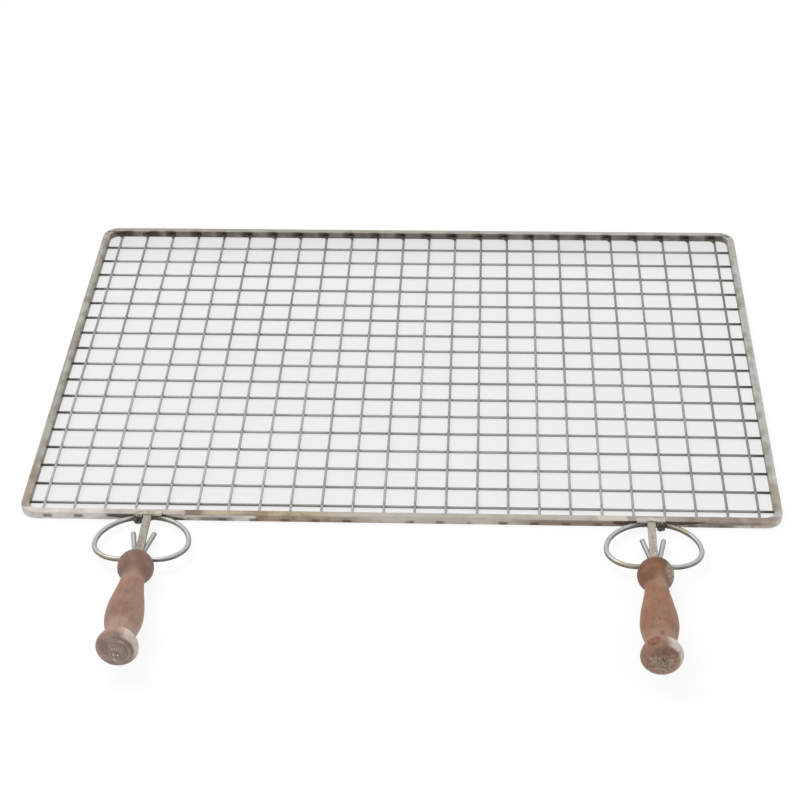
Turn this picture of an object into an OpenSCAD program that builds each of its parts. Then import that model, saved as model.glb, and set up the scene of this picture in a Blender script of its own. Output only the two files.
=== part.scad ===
// Grill grate: a welded wire mesh in a bent square-bar frame, with two rings at the front that
// each carry a removable wooden-grip handle. It lies on the ground plane, with the handles at the
// front (-Y), and its origin is at the middle of its underside.

/* [Frame] */
// Outer width of the frame, from side to side
frame_w = 612; // [300:1:680]
// Outer depth of the frame, from back to front
frame_d = 449.5; // [250:0.5:500]
// Width and height of the square bar
bar = 6.4; // [5:0.1:9]
// Outer radius of the bent corners
corner_r = 15; // [8:0.5:16]
// Width of the flats that break the bar's sharp edges
bar_edge = 0.4; // [0.1:0.1:1]

/* [Mesh] */
// Diameter of the mesh wires
wire_d = 2.2; // [2:0.1:3]
// Distance between neighbouring wires, centre to centre
pitch = 25; // [24:0.5:60]
// Distance from the front rail's inner wall to the first cross wire's centre
front_gap = 13.4; // [12.6:0.1:20]
// Height of the cross wires' underside above the ground
mesh_lift = 0.3; // [0.3:0.1:1.2]
// Radius of the weld bead at each wire's end
bead_r = 1.4; // [1.2:0.1:1.6]
// Distance of a weld bead's middle from its wire's axis
bead_offset = 1.2; // [1.1:0.1:1.4]

/* [Rings] */
// Diameter of the ring wire
ring_wire_d = 4; // [3:0.1:5]
// Distance of each ring's middle from the frame's outer side
ring_inset = 105.5; // [60:0.5:106]
// Radius of the ring's round rear half, to the wire's centre
ring_rear_r = 37; // [30:0.5:45]
// Radius of the ring's front corners, to the wire's centre
ring_front_r = 23; // [18:0.5:26]
// Angle at which the front runs back towards the middle of the ring
ring_dip = 8; // [2:1:12]
// Radius of the fold that turns each wire end back, to the wire's centre
fold_r = 4.5; // [3.5:0.1:6]
// Gap between the two folds
fold_gap = 1; // [0.5:0.1:2]
// Angle at which the prongs spread towards the rail
prong_angle = 11; // [5:1:16]
// Straight length of each prong
prong_len = 31; // [20:0.5:34]
// Upward slope of the rings and handles away from the frame
slope = 5.5; // [4.5:0.5:10]
// Radius of the weld bead between a ring and the front rail
ring_bead_r = 2.2; // [1.8:0.1:2.4]
// Length of that bead
ring_bead_len = 22; // [14:1:30]

/* [Hook plates and tangs] */
// Width of the flat bar
flat_w = 6.3; // [5:0.1:8]
// Thickness of the flat bar
flat_t = 2.2; // [1.6:0.1:2.5]
// Length of the hook plate along the rail
plate_len = 22.5; // [20:0.5:28]
// How far the plate reaches back from the ring wire's middle
plate_back = 2.8; // [2.4:0.1:5]
// How far the plate reaches forward from the ring wire's middle
plate_front = 2; // [1:0.1:3]
// Length of the taper at the plate's left rear corner
plate_taper = 5; // [2:0.5:8]
// Width of the finger, the plate's outer end that curls round the ring wire
finger_w = 7; // [4:0.1:7.2]
// Radius of the finger's rounded underside, from side to side
finger_round = 3.9; // [3.7:0.1:6]
// Diameter of the tang's round tail
tail_d = 4.2; // [3:0.1:5]
// Depth to which the flat bar enters the grip
mortise_depth = 14; // [8:0.5:20]
// Diameter of the tail's peened end
peen_d = 6; // [5.5:0.1:6.5]
// Height of the peened end
peen_h = 0.9; // [0.6:0.1:1.4]
// Angle by which each handle turns in towards the other
toe_in = 1.2; // [0:0.1:2]
// Clearance between the handle's steel and what it seats on or hooks round
seat_gap = 0.25; // [0.15:0.05:0.3]

/* [Grips] */
// Distance from the ring's front to the grip's back face
grip_gap = 2.9; // [1.5:0.1:5]
// Radius of the ball at the grip's back
ball_r = 14.1; // [12:0.1:14.5]
// Radius of the flat face round the tang at the ball's back
back_face_r = 5.4; // [5:0.1:7]
// Radius of the neck
neck_r = 8.8; // [7:0.1:11]
// Distance of the neck from the grip's back face
neck_at = 24; // [22:0.5:30]
// Radius of the body's thickest place
body_r = 14.4; // [12:0.1:16]
// Distance of that place from the grip's back face
body_at = 78.6; // [60:0.5:90]
// Radius of the groove before the knob
groove_r = 10.8; // [8:0.1:12]
// Distance of the groove from the grip's back face
groove_at = 105; // [102:0.5:108]
// Radius of the knob
knob_r = 15.7; // [13:0.1:17]
// Distance of the knob's widest place from the grip's back face
knob_at = 115; // [112:0.5:120]
// Length of the knob's rounded back
knob_back = 13; // [10:0.5:14]
// Height of the knob's domed end
dome_h = 8.6; // [5:0.1:12]
// Radius of the small flat at the dome's middle
dome_flat_r = 3.6; // [3.3:0.1:6]
// Clearance between the tang and the wood
bore_gap = 0.1; // [0.05:0.05:0.3]

/* [Hidden] */
$fn = 64;
sides = [["left", -1], ["right", 1]];

// Clearance between pieces that are welded together
weld_gap = 0.02;

// Number of flats round the ring wire
ring_flats = 16;

inner_w = frame_w - 2 * bar;
inner_d = frame_d - 2 * bar;
ring_x = frame_w / 2 - ring_inset;

// The wires keep this far from the inner walls beside them, so that every wire and its weld bead
// meets a straight wall
corner_room = corner_r - bar + bead_offset + bead_r;
front_back_count = floor((inner_w - 2 * corner_room) / pitch) + 1;
cross_count = floor((inner_d - front_gap - corner_room) / pitch) + 1;
cross_z = mesh_lift + wire_d / 2;
front_back_z = cross_z + wire_d + weld_gap;

// The grip's axis lies this far above the ring wire's middle, square to the slope
axis_up = ring_wire_d / 2 + seat_gap + flat_t / 2;
grip_start = ring_rear_r + ring_front_r + grip_gap;
grip_len = knob_at + dome_h;
ball_at = sqrt(pow(ball_r, 2) - pow(back_face_r, 2));

// The ring's rear wire touches the front rail, at the height at which the plate bears on both
root_out = ring_wire_d / 2 + weld_gap;
root_z = bar + seat_gap - (ring_wire_d / 2 + seat_gap) * cos(slope) + plate_back * sin(slope);

// How far the handle reaches forward from the ring's rear wire, to the peened end's rim
axis_forward = cos(slope) * cos(toe_in);
peen_top_r = peen_d / 3;
reach = (grip_start + grip_len + peen_h) * axis_forward - axis_up * sin(slope)
    + peen_top_r * sqrt(1 - pow(axis_forward, 2));

back_y = (frame_d + root_out + reach) / 2;
front_y = back_y - frame_d;
root_y = front_y - root_out;

// The straight run between a front corner and its fold, and the turn of that fold
run_from_x = ring_rear_r - ring_front_r - ring_front_r * sin(ring_dip);
run_to_x = fold_gap / 2 + ring_wire_d / 2 + fold_r * (1 - sin(ring_dip));
front_run = (run_from_x - run_to_x) / cos(ring_dip);
fold_turn = 90 + prong_angle - ring_dip;

// The finger curls round the ring wire where the wire reaches furthest out beside it, and its lip
// runs back under the wire and ends clear of the wire's weld bead
finger_at = ring_rear_r - sqrt(pow(ring_rear_r, 2) - pow(plate_len / 2, 2));
lip_end = ring_bead_r - root_out + seat_gap;

steel = [0.62, 0.60, 0.57];
wire_steel = [0.52, 0.51, 0.50];
plate_steel = [0.66, 0.64, 0.57];
weld_brown = [0.36, 0.30, 0.26];
wood = [0.62, 0.46, 0.37];

function padded(i) = str(i < 10 ? "0" : "", i);
function front_back_name(i) = str("front_back_wire_", padded(i));
function cross_name(i) = str("cross_wire_", padded(i));
function front_back_x(i) = (i - (front_back_count + 1) / 2) * pitch;
function cross_y(i) = front_y + bar + front_gap + (i - 1) * pitch;

// Radius of a turned swell, from one radius to the next along a half cosine
function swell(from_r, to_r, share) = from_r + (to_r - from_r) * (1 - cos(180 * share)) / 2;

// A step is [length, 0] for a straight run, or [radius, angle] for a clockwise bend, and starts at
// the origin along +X. Its child is the section, whose x points to the outside of the bends.
module step_solid(size, turn) {
    if (turn == 0)
        rotate([90, 0, 90]) linear_extrude(size) children();
    else
        translate([0, -size, 0]) rotate(90 - turn)
            rotate_extrude(angle = turn) translate([size, 0]) children();
}

module to_step_end(size, turn) {
    if (turn == 0)
        translate([size, 0, 0]) children();
    else
        translate([0, -size, 0]) rotate(-turn) translate([0, size, 0]) children();
}

// Sweeps its child along a flat path of steps
module bent(steps, i = 0) {
    if (i < len(steps)) {
        step_solid(steps[i][0], steps[i][1]) children();
        to_step_end(steps[i][0], steps[i][1]) bent(steps, i + 1) children();
    }
}

module bar_section() {
    half = bar / 2;
    cut = half - bar_edge;
    polygon([[-half, -cut], [-cut, -half], [cut, -half], [half, -cut],
        [half, cut], [cut, half], [-cut, half], [-half, cut]]);
}

module frame() {
    bend_r = corner_r - bar / 2;
    side_run = frame_d - 2 * corner_r;
    back_run = frame_w - 2 * corner_r;
    color(steel)
        translate([-back_run / 2, back_y - bar / 2, bar / 2])
            bent([[back_run, 0], [bend_r, 90], [side_run, 0], [bend_r, 90],
                [back_run, 0], [bend_r, 90], [side_run, 0], [bend_r, 90]])
                bar_section();
}

module front_back_wire(i) {
    color(wire_steel)
        translate([front_back_x(i), back_y - bar - weld_gap, front_back_z])
            rotate([90, 0, 0]) cylinder(d = wire_d, h = inner_d - 2 * weld_gap);
}

module cross_wire(i) {
    color(wire_steel)
        translate([-inner_w / 2 + weld_gap, cross_y(i), cross_z])
            rotate([0, 90, 0]) cylinder(d = wire_d, h = inner_w - 2 * weld_gap);
}

// A tack weld at the end of a wire that runs along -Y from a wall at Y = 0
module bead() {
    difference() {
        translate([-bead_offset, 0, 0]) sphere(r = bead_r);
        rotate([90, 0, 0]) cylinder(d = wire_d + 2 * weld_gap, h = 4 * bead_r, center = true);
        translate([-2 * bead_r - bead_offset, -weld_gap, -2 * bead_r])
            cube([4 * bead_r, 4 * bead_r, 4 * bead_r]);
    }
}

module front_back_welds(y, turn) {
    color(weld_brown)
        for (i = [1 : front_back_count])
            translate([front_back_x(i), y, front_back_z]) rotate(turn) bead();
}

module cross_welds(x, turn) {
    color(weld_brown)
        for (i = [1 : cross_count])
            translate([x, cross_y(i), cross_z]) rotate(turn) bead();
}

module back_welds() front_back_welds(back_y - bar, 0);

module front_welds() front_back_welds(front_y + bar, 180);

module left_welds() cross_welds(-inner_w / 2, 90);

module right_welds() cross_welds(inner_w / 2, -90);

// Moves its children from a ring's own frame, in which the ring lies flat with its rear wire's
// middle at the origin and its front towards -Y, to one side of the grate
module on_ring(side) {
    translate([side[1] * ring_x, root_y, root_z]) rotate([-slope, 0, 0]) children();
}

module on_handle(side) {
    on_ring(side) rotate(-side[1] * toe_in) children();
}

// The ring wire's section, with flats that are too narrow to see or feel
module ring_section() {
    polygon([for (k = [0 : ring_flats - 1])
        ring_wire_d / 2 * [cos(360 * k / ring_flats), sin(360 * k / ring_flats)]]);
}

module half_ring() {
    bent([[ring_rear_r, 90], [ring_front_r, 90 + ring_dip], [front_run, 0],
        [fold_r, fold_turn], [prong_len, 0]])
        ring_section();
}

module ring_wire() {
    half_ring();
    mirror([1, 0, 0]) half_ring();
}

module ring(side) {
    color(steel) on_ring(side) ring_wire();
}

// The bead fills the corner between the rail's wall and the ring wire's underside
module ring_weld(side) {
    color(weld_brown)
        difference() {
            translate([side[1] * ring_x, front_y, root_z - ring_wire_d / 2])
                rotate([0, 90, 0]) {
                    cylinder(r = ring_bead_r, h = ring_bead_len, center = true);
                    for (end = [-1, 1])
                        translate([0, 0, end * ring_bead_len / 2]) sphere(r = ring_bead_r);
                }
            on_ring(side)
                translate([0, -ring_rear_r, 0])
                    rotate_extrude()
                        translate([ring_rear_r, 0]) circle(d = ring_wire_d + 2 * weld_gap);
            translate([-frame_w, front_y - weld_gap, -bar]) cube([2 * frame_w, bar, 3 * bar]);
        }
}

module plate_outline() {
    half = plate_len / 2;
    polygon([[-half, -plate_front], [half, -plate_front], [half, plate_back],
        [-half + plate_taper, plate_back], [-half, plate_back / 2]]);
}

// The plate's outer end curls down in front of the ring wire and back under it, and is rounded off
// from side to side
module finger(side) {
    depth = axis_up + flat_t / 2;
    translate([side[1] * (plate_len - finger_w) / 2, 0, 0])
        intersection() {
            translate([0, 0, axis_up]) rotate([90, 0, -90])
                bent([[finger_at, 0], [axis_up, 180], [finger_at - lip_end, 0]])
                    square([flat_t, finger_w], center = true);
            rotate([90, 0, 0]) linear_extrude(4 * depth, center = true) hull() {
                translate([0, finger_round - depth]) circle(r = finger_round);
                translate([-finger_round, 0]) square([2 * finger_round, 2 * depth]);
            }
        }
}

module hook_plate(side) {
    color(plate_steel)
        on_handle(side) {
            translate([0, 0, axis_up - flat_t / 2]) linear_extrude(flat_t) plate_outline();
            finger(side);
        }
}

module tang(side) {
    flat_end = grip_start + mortise_depth;
    tail_end = grip_start + grip_len + weld_gap;
    color(plate_steel)
        on_handle(side) translate([0, 0, axis_up]) {
            translate([-flat_w / 2, -flat_end, -flat_t / 2])
                cube([flat_w, flat_end - plate_front - weld_gap, flat_t]);
            rotate([90, 0, 0]) {
                translate([0, 0, flat_end - tail_d])
                    cylinder(d = tail_d, h = tail_end + tail_d - flat_end);
                translate([0, 0, tail_end]) cylinder(d1 = peen_d, r2 = peen_top_r, h = peen_h);
            }
        }
}

// The body's outline, from the ball's middle to the groove, as radius and distance
module body_outline() {
    steps = 24;
    polygon(concat(
        [[0, ball_at], [neck_r, ball_at]],
        [for (k = [0 : steps]) [swell(neck_r, body_r, k / steps),
            neck_at + (body_at - neck_at) * k / steps]],
        [for (k = [1 : steps]) [swell(body_r, groove_r, k / steps),
            body_at + (groove_at - body_at) * k / steps]],
        [[groove_r, knob_at], [0, knob_at]]
    ));
}

// The knob's outline: a rounded back, and a domed end with a small flat at its middle
module knob_outline() {
    steps = 16;
    polygon(concat(
        [for (k = [0 : steps]) [knob_r * sin(90 * k / steps),
            knob_at - knob_back * cos(90 * k / steps)]],
        [for (k = [1 : steps]) [knob_r - (knob_r - dome_flat_r) * pow(k / steps, 2),
            knob_at + dome_h * k / steps]],
        [[0, grip_len]]
    ));
}

module grip(side) {
    mortise_w = flat_w + 2 * bore_gap;
    mortise_t = flat_t + 2 * bore_gap;
    color(wood)
        on_handle(side) translate([0, -grip_start, axis_up]) rotate([90, 0, 0])
            difference() {
                union() {
                    translate([0, 0, ball_at]) sphere(r = ball_r);
                    rotate_extrude() body_outline();
                    rotate_extrude() knob_outline();
                }
                translate([0, 0, -ball_r]) cube([2 * ball_r, 2 * ball_r, 2 * ball_r], center = true);
                translate([-mortise_w / 2, -mortise_t / 2, -ball_r])
                    cube([mortise_w, mortise_t, ball_r + mortise_depth + bore_gap]);
                cylinder(d = tail_d + 2 * bore_gap, h = grip_len + ball_r);
            }
}

frame();
for (i = [1 : front_back_count])
    front_back_wire(i);
for (i = [1 : cross_count])
    cross_wire(i);
back_welds();
front_welds();
left_welds();
right_welds();
for (side = sides) {
    ring(side);
    ring_weld(side);
    hook_plate(side);
    tang(side);
    grip(side);
}
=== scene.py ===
"""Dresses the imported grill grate: turned grips, round ring wire, welds and worn steel, on a pale floor."""

import math
import random

import bpy
import bmesh
from mathutils import Euler, Matrix, Vector, noise


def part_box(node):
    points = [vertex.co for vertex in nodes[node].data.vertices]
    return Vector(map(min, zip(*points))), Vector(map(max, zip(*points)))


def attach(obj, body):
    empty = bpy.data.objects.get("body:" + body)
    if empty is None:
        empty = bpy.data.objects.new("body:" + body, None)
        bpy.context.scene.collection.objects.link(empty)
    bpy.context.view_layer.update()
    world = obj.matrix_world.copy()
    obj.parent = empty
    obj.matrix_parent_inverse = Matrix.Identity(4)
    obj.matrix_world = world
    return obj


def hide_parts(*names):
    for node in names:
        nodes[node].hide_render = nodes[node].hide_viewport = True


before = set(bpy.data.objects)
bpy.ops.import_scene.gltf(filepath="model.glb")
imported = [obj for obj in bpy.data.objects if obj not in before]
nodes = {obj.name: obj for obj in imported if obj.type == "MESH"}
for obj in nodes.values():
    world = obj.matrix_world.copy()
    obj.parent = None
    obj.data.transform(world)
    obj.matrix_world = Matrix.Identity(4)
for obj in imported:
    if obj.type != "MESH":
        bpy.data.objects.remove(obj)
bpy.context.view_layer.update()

# The source's sizes, in metres and radians
BAR = 0.0064
PITCH = 0.025
WIRE_R = 0.0011
RING_X = 0.2005
RING_WIRE_R = 0.002
RING_REAR_R = 0.037
RING_FRONT_R = 0.023
RING_DIP = math.radians(8)
FOLD_R = 0.0045
FOLD_GAP = 0.001
PRONG_ANGLE = math.radians(11)
PRONG_LEN = 0.031
SLOPE = math.radians(5.5)
TOE_IN = math.radians(1.2)
ROOT_OUT = 0.00202
ROOT_Z = 0.004679
AXIS_UP = 0.00335
GRIP_START = 0.0629
BALL_R = 0.0141
BACK_FACE_R = 0.0054
NECK_R = 0.0088
NECK_AT = 0.024
BODY_R = 0.0144
BODY_AT = 0.0786
GROOVE_R = 0.0108
GROOVE_AT = 0.105
KNOB_R = 0.0157
KNOB_AT = 0.115
KNOB_BACK = 0.013
DOME_H = 0.0086
DOME_FLAT_R = 0.0036

# The crumbled patch on the right grip's end, from the grip's axis
PIT_X = 0.0013
PIT_Y = -0.0002
PIT_R = 0.0117

# The turned grips: their mesh, the mortise for the tang, and the heights of waves, fibres and tool marks
GRIP_SIDES = 128
GRIP_ROWS = 230
DOME_ROWS = 56
BLEND_ROOM = 0.0042
MORTISE_HALF_X = 0.00325
MORTISE_HALF_Y = 0.0012
MORTISE_DEEP = 0.012
WAVE_H = 0.00016
FIBRE_H = 0.00005
TOOL_MARK_H = 0.00003
TOOL_PITCH = 0.0009
DENTS = 26
RIM_R = 0.0140

# Dark flecks on the right grip, in its own frame: where, and how large
FLECKS = (((0.0005, 0.0116, 0.1020), 0.0026), ((-0.0012, 0.0141, 0.0880), 0.0018),
          ((0.0026, 0.0140, 0.0885), 0.0018), ((0.0012, 0.0138, 0.0935), 0.0016),
          ((-0.0062, 0.0128, 0.0860), 0.0020))

# Each ring turned into the left grip's end: its radius, depth and width
END_RINGS = ((0.0115, 0.00022, 0.0005), (0.0083, 0.00016, 0.0004), (0.0055, 0.00014, 0.0008))

# The lumps of a wire's weld: each one's distance along the wall and out from it, and its radius
FULL_FILLET = ((0.0008, 0.0050, 0.0008), (0.0011, 0.0037, 0.0011), (0.0018, 0.0024, 0.0013),
               (0.0030, 0.0014, 0.0013), (0.0046, 0.0007, 0.0010))
SLIGHT_FILLET = ((0.0004, 0.0004, 0.0008),)
SIDE_WELD_UP = 0.0008
CROSSING_R = 0.00122
CROSSING_H = 0.0005
RING_WELD_LUMPS = 15
RING_WELD_LEN = 0.026
RING_WELD_R = 0.0019

# The hook plates' curl: its middle, half width, top and drop, and how much its foot narrows
CURL_X = 0.20825
CURL_HALF_W = 0.0045
CURL_TOP = 0.0072
CURL_DROP = 0.0062
CURL_NARROW = 0.93
PLATE_VOXEL = 0.00022

# The floor's strength as it is seen: around the part, under its mesh, and under it along the back rail. The
# lower strengths are painted shade, laid in the floor's material inside the frame's outline.
FLOOR_WHITE = 1.03
MESH_SHADE = 0.865
BACK_SHADE = 0.77
FLOOR_GLOW = 0.86
FLOOR_HALF = 8
FLOOR_Z = -0.0003

# The world's strength low down and high up, and as the steel and the camera see it
SKY_LOW = 0.4
SKY_HIGH = 0.76
SEEN_STRENGTH = (("Is Glossy Ray", 0.8), ("Is Camera Ray", 1.0))

KEY_PLACE = (-0.9, 0.5, 1.9)
KEY_TARGET = (0, 0.05, 0)
KEY_SIZE = 1.1
KEY_POWER = 15

# The photograph's camera, solved on the mesh's crossings, from the middle of the first cross wire
LENS = 92.370
CAMERA_PLACE = (0.066544, -1.301288, 1.026015)
CAMERA_TURN = (54.75903, 0.79774, 2.28430)

SIDES = {"left": -1, "right": 1}
rail_lo, rail_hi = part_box("frame")
FRONT_Y, BACK_Y = rail_lo.y, rail_hi.y
HALF_W = rail_hi.x
INNER_X = HALF_W - BAR
FRONT_IN = FRONT_Y + BAR
BACK_IN = BACK_Y - BAR
FIRST_CROSS = (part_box("cross_wire_01")[0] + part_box("cross_wire_01")[1]) / 2
CROSSING_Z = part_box("cross_wire_01")[1].z
front_back = sorted(n for n in nodes if n.startswith("front_back_wire_"))
cross = sorted(n for n in nodes if n.startswith("cross_wire_"))
WIRE_X = [(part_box(n)[0].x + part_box(n)[1].x) / 2 for n in front_back]
WIRE_Y = [(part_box(n)[0].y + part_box(n)[1].y) / 2 for n in cross]


# ---- Materials. Steps and bands on x, y or z are at places in metres, and those on a noise at levels of it.

def linear(v):
    return v / 12.92 if v <= 0.04045 else ((v + 0.055) / 1.055) ** 2.4


def rgb(*screen):
    """A colour as seen on a screen, 0 to 255, as Blender's linear values."""
    return tuple(linear(v / 255) for v in screen) + (1.0,)


class Shader:
    """A procedural material, worked out from positions in metres."""

    def __init__(self, name, metallic=0.0, roughness=0.5):
        self.material = bpy.data.materials.new(name)
        self.material.use_nodes = True
        self.tree = self.material.node_tree
        self.bsdf = self.tree.nodes["Principled BSDF"]
        self.bsdf.inputs["Metallic"].default_value = metallic
        self.bsdf.inputs["Roughness"].default_value = roughness
        self.place = self.add("TexCoord", out="Object")
        split = self.tree.nodes.new("ShaderNodeSeparateXYZ")
        self.put(split.inputs[0], self.place)
        self.x, self.y, self.z = split.outputs
        facing = self.tree.nodes.new("ShaderNodeSeparateXYZ")
        self.put(facing.inputs[0], self.add("TexCoord", out="Normal"))
        self.up = facing.outputs[2]

    def put(self, socket, value):
        if isinstance(value, bpy.types.NodeSocket):
            self.tree.links.new(value, socket)
        else:
            socket.default_value = value

    def add(self, kind, values=(), out=0, **settings):
        node = self.tree.nodes.new("ShaderNode" + kind)
        for key, value in settings.items():
            setattr(node, key, value)
        for key, value in dict(values).items():
            self.put(node.inputs[key], value)
        return node.outputs[out]

    def math(self, operation, a, b=0.0):
        return self.add("Math", {0: a, 1: b}, operation=operation)

    def noise(self, scale, detail=3.0, stretch=(1, 1, 1), shift=(0, 0, 0), rough=0.55):
        """Noise with about scale lumps per metre, drawn out along an axis whose stretch is under 1."""
        where = self.add("Mapping", {"Vector": self.place, "Location": shift, "Scale": stretch})
        return self.add("TexNoise", {"Vector": where, "Scale": scale, "Detail": detail, "Roughness": rough},
                        out="Fac")

    def step(self, value, low, high):
        """0 at low and 1 at high, smooth between them. High may be under low."""
        return self.add("MapRange", {"Value": value, "From Min": low, "From Max": high},
                        interpolation_type="SMOOTHSTEP")

    def band(self, value, low, high, soft):
        return self.math("MULTIPLY", self.step(value, low - soft, low), self.step(value, high + soft, high))

    def share(self, mask, part):
        return self.math("MULTIPLY", mask, part)

    def both(self, *masks):
        made = masks[0]
        for mask in masks[1:]:
            made = self.math("MULTIPLY", made, mask)
        return made

    def either(self, *masks):
        made = masks[0]
        for mask in masks[1:]:
            made = self.math("MAXIMUM", made, mask)
        return made

    def mix(self, share, a, b):
        node = self.tree.nodes.new("ShaderNodeMix")
        node.data_type = "RGBA"
        self.put(node.inputs[0], share)
        self.put(node.inputs[6], a)
        self.put(node.inputs[7], b)
        return node.outputs[2]

    def coat(self, colour, over, mask, part):
        """A colour with a part of another laid over it, where the mask is 1."""
        return self.mix(self.share(mask, part), colour, over)

    def away(self, centre, scale=(1, 1, 1)):
        """Distance from a point, with each axis scaled."""
        where = self.add("VectorMath", {0: self.place, 1: centre}, operation="SUBTRACT")
        where = self.add("VectorMath", {0: where, 1: scale}, operation="MULTIPLY")
        return self.add("VectorMath", {0: where}, out="Value", operation="LENGTH")

    def finish(self, colour, rough=None, height=None, depth=0.0002, strength=1.0):
        self.put(self.bsdf.inputs["Base Color"], colour)
        if rough is not None:
            self.put(self.bsdf.inputs["Roughness"], rough)
        if height is not None:
            self.put(self.bsdf.inputs["Normal"],
                     self.add("Bump", {"Height": height, "Distance": depth, "Strength": strength},
                              out="Normal"))
        return self.material

    def span(self, value, low, high):
        """A 0 to 1 value, as one from low to high."""
        return self.add("MapRange", {"Value": value, "To Min": low, "To Max": high})


def frame_material():
    s = Shader("frame_steel", metallic=0.7, roughness=0.45)
    along_x = s.noise(40, 4, stretch=(0.15, 9, 9))
    along_y = s.noise(40, 4, stretch=(9, 0.15, 9), shift=(3, 0, 0))
    outer_x = s.math("ABSOLUTE", s.x)
    side = s.step(outer_x, INNER_X - 0.012, INNER_X)
    streak = s.add("Mix", {0: side, 2: along_x, 3: along_y})
    patches = s.noise(16, 3, shift=(7, 2, 0))
    small = s.noise(70, 4, shift=(2, 8, 1))
    mottle = s.noise(260, 5, shift=(1, 5, 0))
    tint = s.noise(34, 2, shift=(0, 3, 9))

    # Greener and darker on the left, cooler and lighter on the right
    right = s.step(s.x, -0.20, 0.27)
    light = s.mix(right, rgb(195, 193, 184), rgb(216, 215, 211))
    dark = s.mix(right, rgb(158, 155, 145), rgb(192, 190, 185))
    colour = s.mix(s.step(streak, 0.32, 0.68), dark, light)
    cool = s.step(s.noise(80, 2, shift=(9, 9, 2)), 0.50, 0.64)
    colour = s.coat(colour, rgb(138, 136, 132), cool, s.span(right, 0.55, 0.2))
    colour = s.coat(colour, rgb(152, 147, 132), s.step(patches, 0.47, 0.62), s.span(right, 0.5, 0.3))
    colour = s.coat(colour, rgb(128, 124, 106), s.step(small, 0.54, 0.67), s.span(right, 0.5, 0.25))
    colour = s.coat(colour, rgb(156, 130, 120), s.step(tint, 0.60, 0.70), 0.5)
    colour = s.coat(colour, rgb(112, 108, 98), s.step(mottle, 0.42, 0.3), 0.3)
    # Painted shade: the side rails' inner walls are darkened below the top
    below = s.step(s.z, BAR - 0.0002, BAR - 0.0008)
    inner_wall_shade = s.both(side, below, s.step(outer_x, INNER_X + 0.0006, INNER_X + 0.0001))
    colour = s.coat(colour, rgb(112, 108, 98), inner_wall_shade, 0.65)
    near = s.math("ADD", s.y, s.span(small, -0.008, 0.008))
    near_corner = s.both(s.step(s.x, 0.20, 0.27), s.band(near, FRONT_Y + 0.020, FRONT_Y + 0.046, 0.012))
    colour = s.coat(colour, rgb(176, 154, 137), near_corner, 0.6)
    left_end = s.step(s.x, -0.27, -0.29)
    near_corner = s.both(left_end, s.band(near, FRONT_Y + 0.018, FRONT_Y + 0.046, 0.006))
    colour = s.coat(colour, rgb(176, 156, 140), near_corner, s.span(s.step(small, 0.35, 0.6), 0.3, 0.65))
    near_corner = s.both(left_end, s.band(near, FRONT_Y + 0.047, FRONT_Y + 0.050, 0.005))
    colour = s.coat(colour, rgb(134, 112, 92), near_corner, 0.6)

    # The front rail: scoured pale at its left end, heated brown beyond
    front = s.step(s.y, FRONT_IN + 0.0016, FRONT_IN + 0.0002)
    top = s.both(front, s.step(s.z, BAR - 0.0008, BAR - 0.0003))
    face = s.both(front, s.step(s.z, BAR - 0.0003, BAR - 0.0009))
    ragged = s.math("ADD", s.x, s.span(s.noise(140, 2, shift=(4, 4, 4)), -0.003, 0.003))
    fume = s.step(small, 0.42, 0.58)
    gilt = s.mix(fume, rgb(184, 170, 140), rgb(144, 122, 98))
    brown = s.mix(fume, rgb(154, 136, 112), rgb(122, 102, 86))
    pale = s.mix(s.step(small, 0.35, 0.65), rgb(197, 190, 186), rgb(222, 217, 213))
    colour = s.coat(colour, rgb(198, 187, 173), front, 0.55)
    colour = s.coat(colour, gilt, s.both(top, s.band(ragged, -0.165, -0.075, 0.05)), 0.75)
    colour = s.coat(colour, rgb(112, 100, 90), s.both(top, s.band(ragged, -0.171, -0.161, 0.008)), 0.7)
    colour = s.coat(colour, brown, s.both(face, s.band(ragged, -0.118, -0.055, 0.05)), 0.75)
    colour = s.coat(colour, rgb(124, 106, 92), s.both(face, s.band(ragged, 0.118, 0.185, 0.04)), 0.8)
    worn = s.either(s.both(top, s.step(ragged, -0.1705, -0.1725)),
                    s.both(face, s.step(ragged, -0.1125, -0.1150)))
    colour = s.coat(colour, pale, worn, 0.9)
    smear = s.both(face, s.band(ragged, -0.156, -0.138, 0.010), s.step(s.z, 0.0052, 0.0030))
    colour = s.coat(colour, rgb(112, 98, 92), smear, 0.75)
    end_brown = s.step(s.x, 0.215, 0.235)
    colour = s.coat(colour, s.mix(fume, rgb(172, 152, 142), rgb(138, 118, 106)), s.both(top, end_brown), 0.65)
    high = s.step(s.z, 0.0022, 0.0034)
    end_brown = s.both(end_brown,
                       s.either(s.both(high, s.step(s.x, 0.300, 0.285)), s.step(s.x, 0.272, 0.262)))
    colour = s.coat(colour, s.mix(fume, rgb(146, 130, 118), rgb(112, 98, 88)), s.both(face, end_brown), 0.8)

    # The back rail's inner wall, browned by the fire
    inner_back = s.both(s.step(s.y, BACK_IN - 0.003, BACK_IN - 0.001),
                        s.step(s.y, BACK_IN + 0.0008, BACK_IN + 0.0002))
    scorched = s.mix(s.step(small, 0.38, 0.62), rgb(96, 92, 84), rgb(134, 130, 120))
    scorched = s.coat(scorched, rgb(112, 96, 98), s.step(tint, 0.52, 0.62), 0.5)
    colour = s.coat(colour, scorched, inner_back, 0.85)
    back_top = s.both(s.step(s.y, BACK_IN, BACK_IN + 0.0006), s.step(s.z, BAR - 0.0008, BAR - 0.0003))
    colour = s.coat(colour, rgb(190, 189, 178), back_top, 0.5)

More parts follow.
